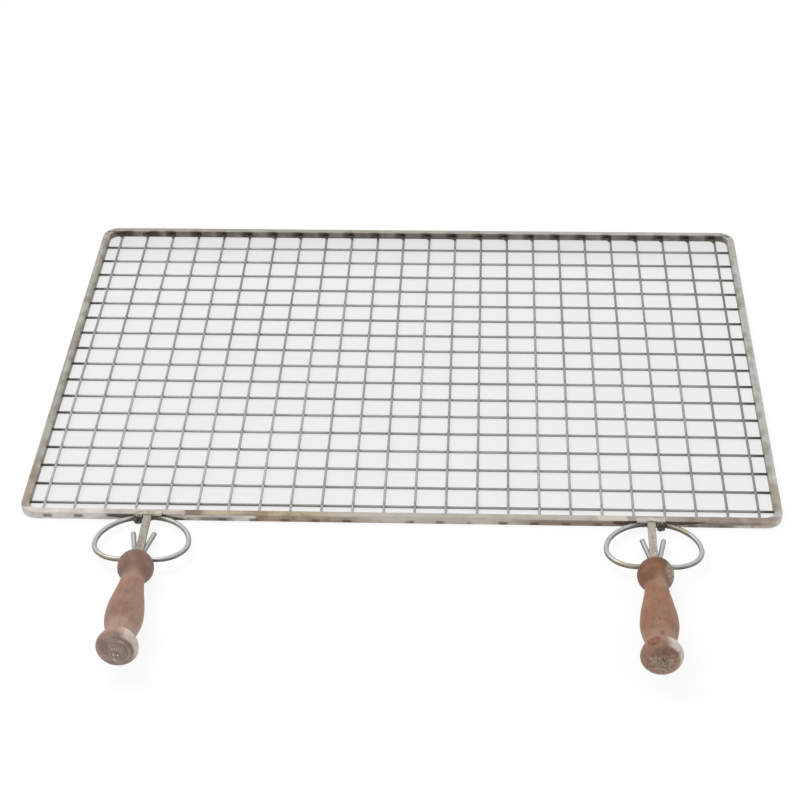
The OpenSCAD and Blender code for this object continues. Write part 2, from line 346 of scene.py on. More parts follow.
    # Heat marks at the wires' ends, beside each wire where its weld sits
    corner = s.step(s.x, -0.245, -0.250)
    spot_x = s.math("SUBTRACT", s.math("SUBTRACT", s.x, PITCH / 2 - 0.004), s.share(corner, 0.009))
    spot_x = s.math("PINGPONG", spot_x, PITCH / 2)
    spot_z = s.math("SUBTRACT", s.z, s.share(corner, 0.0020))
    vary = s.step(s.noise(33, 2, shift=(11, 0, 0)), 0.34, 0.50)
    spots = s.both(s.step(s.y, FRONT_Y + 0.0012, FRONT_Y + 0.0004), s.step(spot_x, 0.0052, 0.0018),
                   s.band(spot_z, 0.0006, 0.0026, 0.0012), s.either(vary, corner))
    back_marks = s.both(inner_back, s.step(spot_x, 0.0075, 0.0020))
    wire_y = s.math("PINGPONG", s.math("SUBTRACT", s.y, FIRST_CROSS.y), PITCH / 2)
    side_marks = s.both(side, s.step(wire_y, 0.0085, 0.001), s.step(outer_x, HALF_W - 0.0005, INNER_X), vary)
    rear_marks = s.both(back_top, s.step(s.y, BACK_Y - 0.001, BACK_IN), s.step(spot_x, 0.007, 0.001),
                        s.span(vary, 0.3, 1))
    colour = s.coat(colour, rgb(120, 108, 94), s.either(side_marks, rear_marks), 0.5)
    colour = s.coat(colour, rgb(88, 72, 64), spots, 0.75)
    colour = s.coat(colour, rgb(66, 60, 54), back_marks, 0.75)

    # The rings' welds burn the front rail's face in wedges, along its top or its lower edge. The same wedges
    # carry painted shade for the gap between each ring wire and the rail.
    soot_and_gap_shade = s.mix(s.step(mottle, 0.4, 0.62), rgb(50, 43, 36), rgb(84, 74, 60))
    wander = s.span(small, -0.003, 0.003)
    lower = s.math("SUBTRACT", BAR, s.z)
    wedges = ((-RING_X, -1, s.z, 0.12, 0.024), (-RING_X, 1, lower, 0.22, 0.020),
              (RING_X, -1, s.z, 0.10, 0.020), (RING_X, 1, s.z, 0.13, 0.034))
    for side_x, way, height, slope, reach in wedges:
        off = s.math("MULTIPLY", s.math("SUBTRACT", s.x, side_x), way)
        haze = s.both(front, s.step(off, -0.004, 0.004), s.step(off, 0.056, 0.022))
        colour = s.coat(colour, rgb(144, 130, 114), haze, s.span(streak, 0.1, 0.55))
        off = s.math("ADD", s.math("SUBTRACT", off, 0.0112), wander)
        thick = s.math("SUBTRACT", height, s.math("MULTIPLY", s.math("MAXIMUM", off, 0.0), slope))
        # burnt is the wedge mask: heat tint and painted gap shade together
        burnt = s.both(face, s.step(thick, 0.0002, 0.0010), s.step(off, reach, reach - 0.004),
                       s.step(off, -0.014, -0.012))
        colour = s.coat(colour, soot_and_gap_shade, burnt, 0.9)
    scraped = s.both(top, s.band(ragged, 0.160, 0.181, 0.0022))
    colour = s.coat(colour, rgb(222, 213, 198), scraped, 0.9)
    height = s.math("ADD", mottle, s.math("MULTIPLY", streak, 1.4))
    return s.finish(colour, s.span(mottle, 0.36, 0.6), height, 0.00012, 0.6)


def wire_material(name, along_x, light, dark, burnt):
    s = Shader(name, metallic=0.75, roughness=0.38)
    streak = s.noise(60, 3, stretch=(0.08, 6, 6) if along_x else (6, 0.08, 6))
    blotch = s.noise(45, 3, shift=(2, 7, 0))
    fine = s.noise(500, 3, shift=(5, 5, 0))
    colour = s.mix(s.step(streak, 0.3, 0.7), dark, light)
    colour = s.coat(colour, rgb(148, 144, 132), s.step(blotch, 0.54, 0.7), 0.4)
    if along_x:
        out = s.math("ADD", s.math("ABSOLUTE", s.x), s.span(blotch, -0.003, 0.003))
        ends = s.step(out, INNER_X - 0.013, INNER_X - 0.007)
        haze = s.step(out, INNER_X - 0.060, INNER_X - 0.010)
        knots = s.math("PINGPONG", s.math("SUBTRACT", s.x, PITCH / 2), PITCH / 2)
        wire_underside_shade = s.step(s.up, 0.35, -0.25)
        burnt = s.mix(s.step(s.x, -0.1, 0.1), burnt, rgb(86, 84, 80))
        dim = s.both(s.step(s.x, 0.18, -0.20), s.step(s.y, 0.0, -0.16))
        colour = s.coat(colour, rgb(112, 109, 101), dim, 0.55)
    else:
        where = s.math("ADD", s.y, s.span(blotch, -0.003, 0.003))
        ends = s.step(where, BACK_IN - 0.013, BACK_IN - 0.007)
        haze = s.step(s.y, FRONT_Y + 0.12, BACK_Y - 0.03)
        knots = s.math("PINGPONG", s.math("SUBTRACT", s.y, FIRST_CROSS.y), PITCH / 2)
        wire_underside_shade = s.step(s.up, 0.1, -0.4)
        bright = s.both(s.step(s.x, 0.10, -0.26), s.step(s.y, 0.10, -0.08))
        colour = s.coat(colour, rgb(222, 222, 222), bright, 0.24)
        colour = s.coat(colour, rgb(130, 126, 119), s.step(s.x, 0.20, 0.28), 0.6)
    colour = s.coat(colour, rgb(112, 109, 103), haze, 0.35)
    colour = s.coat(colour, rgb(116, 111, 98), s.step(knots, 0.0040, 0.0015), 0.35)
    # Painted shade on the wires' undersides, where the normal points down
    colour = s.coat(colour, rgb(82, 80, 77), wire_underside_shade, 0.45)
    colour = s.coat(colour, burnt, ends, 0.9)
    return s.finish(colour, s.span(blotch, 0.28, 0.5), s.math("ADD", streak, fine), 0.00008, 0.5)


def ring_material(name, ring_x, rear_tint, front_tint):
    """A ring's wire, with a painted highlight on top, painted shade on its sides and beneath, and heat tints
    by the weld and at the front.
    """
    s = Shader(name, metallic=0.75, roughness=0.32)
    blotch = s.noise(75, 3, shift=(4, 1, 0))
    fine = s.noise(700, 4)
    away = s.math("SUBTRACT", s.x, ring_x)
    forward = s.math("SUBTRACT", FRONT_Y - ROOT_OUT, s.y)
    # Painted highlight and shade: lighter where the normal points up, darker on the sides
    colour = s.mix(s.step(s.up, 0.36, 0.82), rgb(112, 112, 109), rgb(202, 203, 202))
    colour = s.coat(colour, rgb(178, 178, 174), s.step(blotch, 0.5, 0.64), 0.4)
    colour = s.coat(colour, rgb(150, 146, 138), s.step(fine, 0.58, 0.7), 0.4)
    ahead = s.both(s.band(away, -0.026, -0.008, 0.008), s.step(forward, 0.040, 0.050))
    colour = s.coat(colour, front_tint, ahead, s.span(blotch, 0.3, 0.9))
    rear = s.both(s.band(away, 0.010, 0.026, 0.007), s.step(forward, 0.026, 0.014))
    colour = s.coat(colour, rear_tint, rear, s.span(blotch, 0.35, 1.0))
    heat = s.both(s.step(s.math("ABSOLUTE", away), 0.020, 0.010), s.step(forward, 0.010, 0.004))
    colour = s.coat(colour, s.mix(s.step(fine, 0.4, 0.62), rgb(70, 66, 60), rgb(118, 112, 104)), heat, 0.85)
    # Painted shade on the ring wire's underside
    ring_underside_shade = s.step(s.math("ADD", s.up, s.span(blotch, -0.2, 0.2)), 0.22, -0.15)
    colour = s.coat(colour, rgb(84, 79, 68), ring_underside_shade, 0.85)
    return s.finish(colour, s.span(fine, 0.26, 0.5), fine, 0.00006, 0.5)


def plate_material(name, ring_x, light, dark, pitted):
    """Hammered flat bar. Its curled end is burnt nearly black with painted glints, and it and all that hangs
    below the plate are darkened as painted shade too. Its inner end is pinkish and lighter, partly worn and
    partly a painted highlight.
    """
    s = Shader(name, metallic=0.65, roughness=0.5)
    pits = s.noise(520, 5)
    blotch = s.noise(150, 4, shift=(5, 5, 5))
    forward = s.math("SUBTRACT", FRONT_Y - ROOT_OUT, s.y)
    colour = s.mix(s.step(blotch, 0.36, 0.64), dark, light)
    colour = s.coat(colour, rgb(112, 100, 84), s.step(pits, 0.56, 0.7), pitted)
    colour = s.coat(colour, rgb(226, 222, 212), s.step(pits, 0.42, 0.34), 0.45)
    inwards = s.math("MULTIPLY", s.math("SUBTRACT", ring_x, s.x), math.copysign(1.0, ring_x))
    # The lighter inner end is partly a worn edge, partly a painted highlight on the rounded end
    inner_end = s.step(s.math("ADD", inwards, s.span(blotch, -0.0015, 0.0015)), 0.0045, 0.0070)
    colour = s.coat(colour, rgb(214, 201, 194), inner_end, 0.7)
    curl = s.both(s.step(forward, 0.0018, 0.0025), s.step(s.z, 0.0100, 0.0088),
                  s.step(inwards, -0.0028, -0.0036))
    # Below the plate's top: burnt steel and painted shade together, with painted glints in it
    under = s.step(s.z, 0.0072, 0.0066)
    burnt = s.mix(s.step(s.noise(640, 3, shift=(3, 1, 7)), 0.46, 0.62), rgb(44, 41, 36), rgb(122, 118, 110))
    colour = s.coat(colour, burnt, s.either(curl, under), 0.95)
    return s.finish(colour, s.span(pits, 0.36, 0.64), s.math("ADD", pits, blotch), 0.0003, 0.8)


def tang_material(name, light, dark, pitted, end_dark, end_light, glints):
    """Flat bar from plate to grip, pitted where it meets the wood, and its rusty peened end."""
    s = Shader(name, metallic=0.55, roughness=0.5)
    pits = s.noise(600, 5, shift=(1, 2, 3))
    streak = s.noise(60, 4, stretch=(6, 0.5, 6))
    forward = s.math("SUBTRACT", FRONT_Y - ROOT_OUT, s.y)
    colour = s.mix(s.step(streak, 0.35, 0.65), dark, light)
    colour = s.coat(colour, rgb(178, 175, 162), s.step(forward, 0.022, 0.006), 0.55)
    colour = s.coat(colour, rgb(100, 96, 82), s.step(forward, 0.0046, 0.0032), 0.7)
    # Painted shade on the tang's sides, darker where the normal points less upward
    edge = s.step(s.up, 0.8, 0.3)
    colour = s.coat(colour, rgb(104, 95, 84), edge, 0.75)
    near = s.share(s.span(s.step(forward, 0.012, 0.044), 0.3, 1), pitted)
    colour = s.mix(s.both(near, s.step(pits, 0.5, 0.62)), colour, rgb(120, 104, 92))
    colour = s.mix(s.both(near, s.step(pits, 0.46, 0.38)), colour, rgb(222, 214, 206))
    end = s.step(forward, 0.170, 0.172)
    grit = s.noise(760, 3, shift=(7, 0, 2))
    rust = s.mix(s.step(grit, 0.4, 0.56), end_dark, end_light)
    rust = s.coat(rust, rgb(232, 226, 214), s.step(grit, 0.58, 0.64), glints)
    colour = s.mix(end, colour, rust)
    return s.finish(colour, s.span(pits, 0.36, 0.66), s.math("ADD", pits, s.math("MULTIPLY", grit, end)),
                    0.0003, 0.8)


def weld_material():
    s = Shader("weld_steel", metallic=0.4, roughness=0.55)
    blotch = s.noise(600, 5)
    colour = s.mix(s.step(blotch, 0.38, 0.62), rgb(46, 40, 35), rgb(104, 94, 82))
    colour = s.coat(colour, rgb(168, 162, 152), s.step(s.noise(1300, 3, shift=(3, 3, 3)), 0.6, 0.68), 0.7)
    return s.finish(colour, s.span(blotch, 0.4, 0.75), blotch, 0.0003, 0.9)


def wood_material(name, shift, tones, dark_neck, highlight_part, end_kind):
    """Old dry wood on a piece whose own Z runs along the grip, from its back face outwards."""
    tones = {use: rgb(*tone) for use, tone in tones.items()}
    s = Shader(name, roughness=0.6)
    s.bsdf.inputs["Specular IOR Level"].default_value = 0.5
    s.bsdf.inputs["Sheen Weight"].default_value = 0.06
    s.bsdf.inputs["Sheen Roughness"].default_value = 0.4
    grain = s.noise(420, 5, stretch=(1, 1, 0.10), shift=shift, rough=0.6)
    broad = s.noise(48, 3, stretch=(1, 1, 0.6), shift=(shift[0] + 2, shift[1], shift[2]))
    other = s.noise(95, 4, stretch=(1, 1, 0.7), shift=(shift[0], shift[1] + 6, shift[2]))
    pores = s.noise(1500, 3, stretch=(1, 1, 0.25), shift=shift)
    radius = s.math("SQRT", s.math("ADD", s.math("MULTIPLY", s.x, s.x), s.math("MULTIPLY", s.y, s.y)))
    colour = s.mix(s.step(broad, 0.36, 0.64), tones["grey"], tones["warm"])
    colour = s.coat(colour, tones["red"], s.step(other, 0.5, 0.64), 0.55)
    colour = s.coat(colour, tones["olive"], s.step(other, 0.46, 0.34), 0.5)
    veil = s.noise(62, 3, stretch=(1, 1, 0.5), shift=(shift[0], 3, shift[2] + 4))
    colour = s.coat(colour, tones["pink"], s.step(veil, 0.52, 0.66), 0.5)
    colour = s.coat(colour, tones["pale"], s.step(s.x, 0.004, 0.014), 0.35)
    ball = s.step(s.z, NECK_AT + 0.006, NECK_AT - 0.008)
    colour = s.coat(colour, s.mix(s.step(broad, 0.4, 0.6), tones["ball_dark"], tones["ball"]), ball, 0.6)
    band = s.both(s.band(s.z, 0.009, 0.0145, 0.005), s.step(other, 0.35, 0.55))
    colour = s.coat(colour, tones["ball_dark"], band, 0.4)
    colour = s.coat(colour, tones["ball_dark"], s.band(s.z, 0.0225, 0.0285, 0.006), dark_neck)
    pale = s.band(s.math("ADD", s.z, s.span(other, -0.006, 0.006)), GROOVE_AT - 0.004, KNOB_AT - 0.004, 0.014)
    colour = s.coat(colour, tones["pale"], pale, s.span(other, 0.25, 0.75))
    colour = s.coat(colour, tones["ball_dark"], s.band(s.z, GROOVE_AT - 0.0005, GROOVE_AT + 0.0005, 0.0016),
                    0.4)
    face = s.both(s.step(radius, 0.0154, 0.0146), s.step(s.z, KNOB_AT, KNOB_AT + 0.001))
    if end_kind == "rings":
        stain = s.step(s.away((0.0, 0.012, 0.0835), (1, 1, 0.8)), 0.0100, 0.0035)
        colour = s.coat(colour, rgb(146, 98, 82), stain, s.span(s.step(grain, 0.35, 0.6), 0.3, 0.7))
        arc = s.both(s.step(s.x, -0.002, 0.003), s.step(s.y, -0.009, -0.004))
        colour = s.coat(colour, s.mix(s.step(other, 0.4, 0.62), tones["end_dark"], tones["end"]), face, 0.85)
        arc = s.both(arc, s.span(s.step(other, 0.40, 0.54), 0.25, 1))
        light_arc = s.both(s.band(radius, 0.0092, 0.0104, 0.0006), arc, face)
        dark_arc = s.either(s.band(radius, 0.0112, 0.0117, 0.0005), s.band(radius, 0.0081, 0.0085, 0.0004))
        dark_arc = s.both(dark_arc, arc, face)
        colour = s.coat(colour, tones["pale"], light_arc, 0.3)
        colour = s.coat(colour, rgb(98, 78, 66), dark_arc, 0.5)
        grit = s.noise(560, 2, shift=(2, 2, 6))
        off = s.away((-0.0004, -0.0010, KNOB_AT + DOME_H), (1.4, 0.8, 1))
        glints = s.both(s.step(off, 0.0062, 0.0036), s.step(grit, 0.57, 0.61))
        colour = s.mix(glints, colour, rgb(236, 230, 220))
    else:
        flakes = s.noise(420, 4, shift=(8, 8, 8))
        worn = s.math("ADD", s.away((0.0108, 0.0045, 0.0170), (1, 0.8, 0.8)),
                      s.math("ADD", s.span(flakes, -0.003, 0.003), s.span(other, -0.005, 0.005)))
        worn = s.both(s.step(worn, 0.0090, 0.0056), s.step(flakes, 0.30, 0.42))
        colour = s.coat(colour, s.mix(s.step(flakes, 0.40, 0.68), rgb(144, 131, 111), rgb(204, 194, 178)),
                        worn, 0.75)
        colour = s.coat(colour, tones["end"], face, 0.45)
        crumbs = s.noise(400, 4, shift=(6, 1, 1), rough=0.6)
        rough_end = s.math("ADD", s.away((PIT_X, PIT_Y, KNOB_AT + DOME_H - 0.001), (1, 0.9, 0.5)),
                           s.span(s.noise(240, 2, shift=(1, 1, 5)), -0.0024, 0.0024))
        rough_end = s.step(rough_end, PIT_R, PIT_R - 0.0016)
        crumbly = s.mix(s.step(crumbs, 0.40, 0.60), rgb(138, 112, 93), rgb(184, 161, 142))
        crumbly = s.coat(crumbly, rgb(76, 58, 48), s.step(pores, 0.62, 0.68), 0.6)
        crumbly = s.coat(crumbly, rgb(110, 84, 62), s.step(s.y, 0.0035, 0.0065), 0.7)
        colour = s.coat(colour, crumbly, rough_end, 0.95)
        knot = s.math("ADD", s.away((-0.0066, 0.0138, 0.1140), (0.8, 1, 1)), s.span(other, -0.002, 0.002))
        knot = s.step(knot, 0.0060, 0.0032)
        colour = s.coat(colour, s.mix(s.step(flakes, 0.42, 0.56), rgb(96, 54, 36), rgb(144, 90, 64)), knot,
                        0.9)
        moss = s.step(s.away((0.0005, 0.0140, 0.0850), (1.2, 1, 0.6)), 0.0105, 0.0040)
        colour = s.mix(s.both(s.share(moss, 0.55), s.step(other, 0.58, 0.46)), colour, rgb(136, 110, 82))
        for at, size in FLECKS:
            fleck = s.math("ADD", s.away(at, (1, 1, 0.7)), s.span(flakes, -0.0008, 0.0008))
            fleck = s.step(fleck, size, size - 0.0010)
            colour = s.coat(colour, rgb(104, 68, 50), fleck, 0.5)
        under = s.math("ADD", s.away((-0.0030, 0.0090, 0.0275), (0.6, 1, 1)), s.span(grain, -0.002, 0.002))
        under = s.step(under, 0.0046, 0.0010)
        colour = s.coat(colour, tones["ball_dark"], under, 0.6)
    along = s.math("ADD", s.z, s.span(other, -0.004, 0.004))
    crescent = s.both(s.step(along, KNOB_AT - 0.014, KNOB_AT - 0.006),
                      s.step(s.z, KNOB_AT + 0.0051, KNOB_AT + 0.0032), s.step(s.x, 0.0015, 0.0080),
                      s.step(s.y, -0.013, 0.0), s.step(radius, 0.0118, 0.0130))
    colour = s.coat(colour, tones["crescent"], crescent, 0.9)
    # A painted highlight on top of the neck, a pale patch where a lamp's reflection falls
    painted_highlight = s.step(s.away((0.0030, 0.0088, 0.0320), (1, 0.5, 0.5)), 0.0078, 0.0015)
    colour = s.coat(colour, tones["pale"], painted_highlight, highlight_part)
    specks = s.noise(260, 4, stretch=(1, 1, 0.5), shift=(shift[0], 7, 1))
    colour = s.coat(colour, tones["ball_dark"], s.step(specks, 0.56, 0.68), 0.3)
    colour = s.coat(colour, tones["pink"], s.step(specks, 0.42, 0.32), 0.25)
    colour = s.coat(colour, tones["ball_dark"], s.step(grain, 0.52, 0.68), 0.16)
    colour = s.coat(colour, tones["ball_dark"], s.step(pores, 0.60, 0.70), 0.4)
    colour = s.coat(colour, tones["pale"], s.step(pores, 0.38, 0.30), 0.25)
    place = s.add("Mapping", {"Vector": s.place, "Scale": (1, 1, 0.07), "Location": shift})
    cracks = s.step(s.add("TexVoronoi", {"Vector": place, "Scale": 190}, out="Distance",
                          feature="DISTANCE_TO_EDGE"), 0.018, 0.004)
    cracks = s.both(cracks, s.step(s.noise(36, 2, shift=(shift[0], 9, 9)), 0.57, 0.64))
    colour = s.coat(colour, rgb(108, 80, 64), cracks, 0.35)
    height = s.math("SUBTRACT", s.math("ADD", grain, s.share(pores, 0.6)), s.share(cracks, 1.5))
    return s.finish(colour, s.span(grain, 0.50, 0.74), height, 0.0003, 0.6)


steel = frame_material()
front_back_steel = wire_material("front_back_wire_steel", False, rgb(194, 197, 199), rgb(164, 167, 169),
                                 rgb(60, 52, 46))
cross_steel = wire_material("cross_wire_steel", True, rgb(178, 180, 178), rgb(146, 148, 146), rgb(76, 72, 67))
weld_steel = weld_material()
ring_steel = {
    "left": ring_material("left_ring_steel", -RING_X, rgb(176, 175, 164), rgb(172, 160, 138)),
    "right": ring_material("right_ring_steel", RING_X, rgb(128, 120, 88), rgb(164, 144, 110)),
}
plate_steel = {
    "left": plate_material("left_plate_steel", -RING_X, rgb(190, 188, 168), rgb(160, 156, 138), 0.5),
    "right": plate_material("right_plate_steel", RING_X, rgb(214, 213, 207), rgb(182, 180, 170), 0.75),
}
tang_steel = {
    "left": tang_material("left_tang_steel", rgb(178, 172, 157), rgb(152, 146, 131), 0.3,
                          rgb(116, 100, 90), rgb(152, 136, 124), 1.0),
    "right": tang_material("right_tang_steel", rgb(204, 193, 183), rgb(180, 169, 159), 0.55,
                           rgb(84, 68, 54), rgb(168, 152, 132), 0.3),
}
WOOD_TONES = {
    "left": {
        "warm": (168, 125, 103), "grey": (148, 121, 106), "red": (168, 114, 91), "olive": (140, 119, 99),
        "pink": (182, 146, 132), "pale": (198, 168, 150), "ball": (162, 120, 101), "ball_dark": (112, 86, 74),
        "crescent": (232, 212, 202), "end": (166, 146, 135), "end_dark": (138, 119, 110),
    },
    "right": {
        "warm": (164, 112, 82), "grey": (146, 108, 86), "red": (162, 99, 70), "olive": (134, 105, 78),
        "pink": (178, 132, 111), "pale": (186, 154, 134), "ball": (158, 103, 73), "ball_dark": (98, 65, 46),
        "crescent": (238, 224, 216), "end": (164, 130, 110), "end_dark": (118, 92, 78),
    },
}
wood = {
    "left": wood_material("left_wood", (1, 4, 0), WOOD_TONES["left"], 0.45, 0.2, "rings"),
    "right": wood_material("right_wood", (5, 2, 3), WOOD_TONES["right"], 0.5, 0.6, "pitted"),
}


def dress(obj, material):
    obj.data.materials.clear()
    obj.data.materials.append(material)


def smooth(obj, angle=math.radians(35)):
    """Smooth shading, with creases where faces meet at more than the angle."""
    mesh = obj.data
    mesh.shade_smooth()
    made = bmesh.new()
    made.from_mesh(mesh)
    sharp = [e.index for e in made.edges if len(e.link_faces) == 2 and e.calc_face_angle(0) > angle]
    made.free()
    for index in sharp:
        mesh.edges[index].use_edge_sharp = True


def bevel(obj, width, segments=2):
    made = obj.modifiers.new("edges", "BEVEL")
    made.width = width
    made.segments = segments
    made.limit_method = "ANGLE"
    made.angle_limit = math.radians(40)
    made.harden_normals = True


for name in front_back:
    dress(nodes[name], front_back_steel)
for name in cross:
    dress(nodes[name], cross_steel)
dress(nodes["frame"], steel)
for name in SIDES:
    dress(nodes[f"{name}_tang"], tang_steel[name])
    bevel(nodes[f"{name}_tang"], 0.00035)
for name in front_back + cross:
    smooth(nodes[name])
smooth(nodes["frame"], math.radians(25))


# ---- New pieces

def new_piece(name, verts, faces, material, body, matrix=None, stands_for=()):
    mesh = bpy.data.meshes.new(name)
    mesh.from_pydata([tuple(v) for v in verts], [], faces)
    mesh.validate()
    obj = bpy.data.objects.new(name, mesh)
    bpy.context.scene.collection.objects.link(obj)
    if matrix is not None:
        obj.matrix_world = matrix
    dress(obj, material)
    mesh.shade_smooth()
    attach(obj, body)
    if stands_for:
        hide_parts(*stands_for)
    return obj


def on_ring(side):
    return Matrix.Translation((side * RING_X, FRONT_Y - ROOT_OUT, ROOT_Z)) @ Matrix.Rotation(-SLOPE, 4, "X")


def on_handle(side):
    return on_ring(side) @ Matrix.Rotation(-side * TOE_IN, 4, "Z")


def ring_path():
    """The ring wire's middle line, from one prong's tip to the other's, in the ring's own plane."""
    place, heading, half = Vector((0, 0)), 0.0, []

    def straight(length, count):
        nonlocal place
        start = place.copy()
        for k in range(1, count + 1):
            place = start + Vector((math.cos(heading), math.sin(heading))) * length * k / count
            half.append(place.copy())

    def turn(radius, angle, count):
        nonlocal place, heading
        middle = place + Vector((math.sin(heading), -math.cos(heading))) * radius
        first = heading
        for k in range(1, count + 1):
            heading = first - angle * k / count
            place = middle + Vector((-math.sin(heading), math.cos(heading))) * radius
            half.append(place.copy())

    run_from = RING_REAR_R - RING_FRONT_R - RING_FRONT_R * math.sin(RING_DIP)
    run_to = FOLD_GAP / 2 + RING_WIRE_R + FOLD_R * (1 - math.sin(RING_DIP))
    turn(RING_REAR_R, math.pi / 2, 30)
    turn(RING_FRONT_R, math.pi / 2 + RING_DIP, 24)
    straight((run_from - run_to) / math.cos(RING_DIP), 2)
    turn(FOLD_R, math.pi / 2 + PRONG_ANGLE - RING_DIP, 14)
    straight(PRONG_LEN, 12)
    other = [Vector((-p.x, p.y)) for p in reversed(half)]
    return other + [Vector((0, 0))] + half


def tube(path, radius, sides, wander, seed):
    """A round wire along a flat path, with slightly rounded cut ends."""
    verts, faces = [], []
    ends = [(0.0, 0.55), (0.00025, 0.88), (0.0006, 1.0)]
    count = len(path)
    stations = [(path[0], path[1] - path[0], off, share) for off, share in ends]
    stations += [(path[k], path[k + 1] - path[k - 1], None, 1.0) for k in range(1, count - 1)]
    stations += [(path[-1], path[-1] - path[-2], -off, share) for off, share in reversed(ends)]
    for at, along, off, share in stations:
        along = along.normalized()
        if off is not None:
            at = at + along * off
        across = Vector((-along.y, along.x))
        for j in range(sides):
            angle = 2 * math.pi * j / sides
            dent = 1 + wander * noise.noise(Vector((at.x * 160 + seed, at.y * 160, j * 0.35)))
            reach = radius * share * dent
            flat = at + across * math.cos(angle) * reach
            verts.append((flat.x, flat.y, math.sin(angle) * reach))
    rows = len(stations)
    for i in range(rows - 1):
        for j in range(sides):
            a, b = i * sides + j, i * sides + (j + 1) % sides
            faces.append((a, b, b + sides, a + sides))
    faces.append(tuple(range(sides)))
    faces.append(tuple((rows - 1) * sides + j for j in reversed(range(sides))))
    return verts, faces


def rings():
    path = ring_path()
    for name, side in SIDES.items():
        verts, faces = tube(path, RING_WIRE_R, 24, 0.03, side * 3.0)
        ring = new_piece(f"{name}_ring_wire", verts, faces, ring_steel[name], "grate",
                         on_ring(side), [f"{name}_ring"])
        ring.data.transform(ring.matrix_basis)
        ring.matrix_basis = Matrix.Identity(4)


def swell(from_r, to_r, share):
    return from_r + (to_r - from_r) * (1 - math.cos(math.pi * share)) / 2


def blend(a, b):
    """The larger of two radii, rounded where they are nearly equal."""
    near = max(BLEND_ROOM - abs(a - b), 0.0) / BLEND_ROOM
    return max(a, b) + near * near * BLEND_ROOM / 4


def grip_radius(z):
    """The turned outline's radius at a distance from the back face, up to the knob's widest place."""
    ball_at = math.sqrt(BALL_R ** 2 - BACK_FACE_R ** 2)
    ball = math.sqrt(max(0.0, BALL_R ** 2 - (z - ball_at) ** 2))
    if z < ball_at:
        return ball
    body = NECK_R
    if NECK_AT < z <= BODY_AT:
        body = swell(NECK_R, BODY_R, (z - NECK_AT) / (BODY_AT - NECK_AT))
    elif BODY_AT < z <= GROOVE_AT:
        body = swell(BODY_R, GROOVE_R, (z - BODY_AT) / (GROOVE_AT - BODY_AT))
    elif z > GROOVE_AT:
        body = GROOVE_R
    knob = 0.0
    if z > KNOB_AT - KNOB_BACK:
        knob = KNOB_R * math.sqrt(max(0.0, 1 - ((KNOB_AT - z) / KNOB_BACK) ** 2))
    return blend(blend(ball, body), knob)


def grip_profile():
    """The turned outline as radii and distances from the back face."""
    points = [(BACK_FACE_R, 0.0)]
    for k in range(1, GRIP_ROWS + 1):
        z = KNOB_AT * k / GRIP_ROWS
        points.append((grip_radius(z), z))
    for k in range(1, DOME_ROWS + 1):
        share = k / DOME_ROWS
        points.append((KNOB_R - (KNOB_R - DOME_FLAT_R) * share ** 2, KNOB_AT + DOME_H * k / DOME_ROWS))
    return points


def grip_dents(side):
    """Each dent's angle, distance from the back face, radius and depth."""
    draw = random.Random(side + 7)
    return [(draw.uniform(0, 2 * math.pi), draw.uniform(0.006, KNOB_AT), draw.uniform(0.0012, 0.003),
             draw.uniform(0.00008, 0.0003)) for _ in range(DENTS)]


def wood_out(where, r, z, angle, side, dents):
    """How far the wood stands out from the turned outline, by waves, fibres, tool marks and dents."""
    out = WAVE_H * noise.noise(where * 70 + Vector((side * 5, 0, 0)))
    fibre = Vector((where.x * 500, where.y * 500, where.z * 60)) + Vector((0, side * 9, 0))
    out += FIBRE_H * noise.noise(fibre)
    out += TOOL_MARK_H * math.sin(z / TOOL_PITCH * 2 * math.pi + 2 * noise.noise(where * 40))
    for at, dz, size, deep in dents:
        gap = ((angle - at + math.pi) % (2 * math.pi) - math.pi) * r
        away = (gap * gap + (z - dz) ** 2) / (size * size)
        if away < 6:
            out -= deep * math.exp(-away)
    return out


def end_down(where, x, y, r, angle, side):
    """How deep the domed end is worn. The left one has turned rings, and the right one a crumbled patch."""
    down = 0.00012 * math.exp(-((r - RIM_R) / 0.0006) ** 2)
    if side < 0:
        arc = 0.15 + 0.85 * max(0.0, math.cos(angle - math.radians(30))) ** 0.5
        for groove, deep, wide in END_RINGS:
            down += arc * deep * math.exp(-((r - groove) / wide) ** 2)
        return down + 0.00015 * noise.noise(where * 260)
    away = Vector((x - PIT_X, (y - PIT_Y) * 0.9)).length / PIT_R
    crumb = 0.00035 + 0.0008 * noise.noise(where * 300) + 0.0005 * noise.noise(where * 800)
    return down + max(0.0, 1 - away ** 3) * crumb


